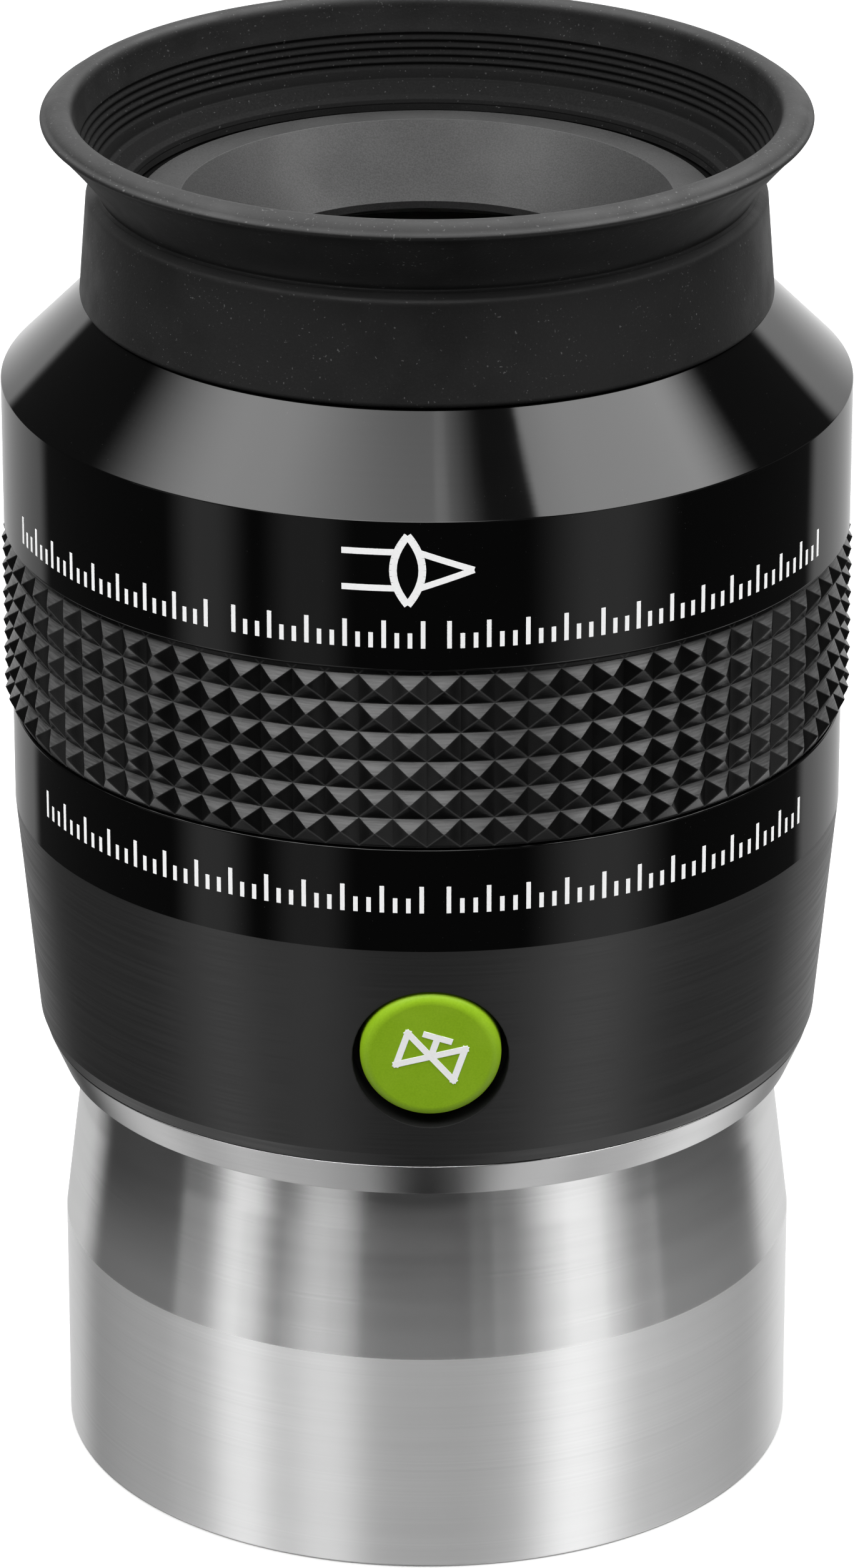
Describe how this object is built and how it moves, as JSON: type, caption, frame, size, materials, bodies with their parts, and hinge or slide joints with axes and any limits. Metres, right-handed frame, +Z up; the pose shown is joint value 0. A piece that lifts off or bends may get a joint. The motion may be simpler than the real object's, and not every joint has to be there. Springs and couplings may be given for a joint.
{
  "type": "telescope eyepiece",
  "caption": "Telescope eyepiece for two-inch focusers: bright barrel, black body with rubber grip ring, fold-down rubber eyecup, green purge cap and glass lenses inside.",
  "frame": {"origin": "centre of the barrel's bottom face, which the eyepiece stands on", "axes": "+Z up along the optical axis towards the eye; the purge cap faces -Y; +X to the right of the cap"},
  "size_m": [0.058, 0.058, 0.0969],
  "materials": {
    "satin_black": "satin black anodised, fine turned lines, with a gloss black band at its top",
    "gloss_black": "gloss black anodised",
    "bright_steel": "bright turned metal, brushed round the axis",
    "grip_rubber": "semi-matte moulded rubber with square pyramids",
    "eyecup_rubber": "soft matte rubber with fine specks",
    "seal_rubber": "smooth seal rubber",
    "bezel_black": "fine bead-blasted dark grey anodised",
    "blackened": "flat black anti-reflection paint",
    "green_cap": "satin speckled green plastic",
    "screw_steel": "small machined steel screw",
    "coated_glass": "polished optical glass, green-violet multilayer coating"
  },
  "bodies": {
    "root": {"barrel": "bright_steel", "barrel_seal": "seal_rubber", "lower_housing": "satin_black", "upper_housing": "gloss_black", "grip_ring": "grip_rubber", "purge_cap": "green_cap", "purge_screw": "screw_steel", "purge_seal": "seal_rubber", "eyecup_cuff": "eyecup_rubber", "eyecup_fold": "eyecup_rubber", "eye_bezel": "bezel_black", "eye_lens_seal": "seal_rubber", "eye_lens": "coated_glass", "lens_cell": "blackened", "eye_crown_lens": "coated_glass", "eye_flint_lens": "coated_glass", "lens_spacer": "blackened", "middle_lens": "coated_glass", "middle_lens_ring": "blackened", "lens_lock_ring": "blackened", "field_stop": "blackened", "cell_lock_ring": "blackened", "field_cell": "blackened", "field_crown_lens": "coated_glass", "field_flint_lens": "coated_glass", "field_lens_seal": "seal_rubber", "field_lock_ring": "blackened"},
    "lip": {"eyecup_lip": "eyecup_rubber"}
  },
  "joints": [
    {"name": "eyecup_fold_down", "type": "slide", "parent": "root", "child": "lip", "axis": [0, 0, -1], "range_m": [0, 0.0085], "deforming": ["eyecup_fold"]}
  ]
}
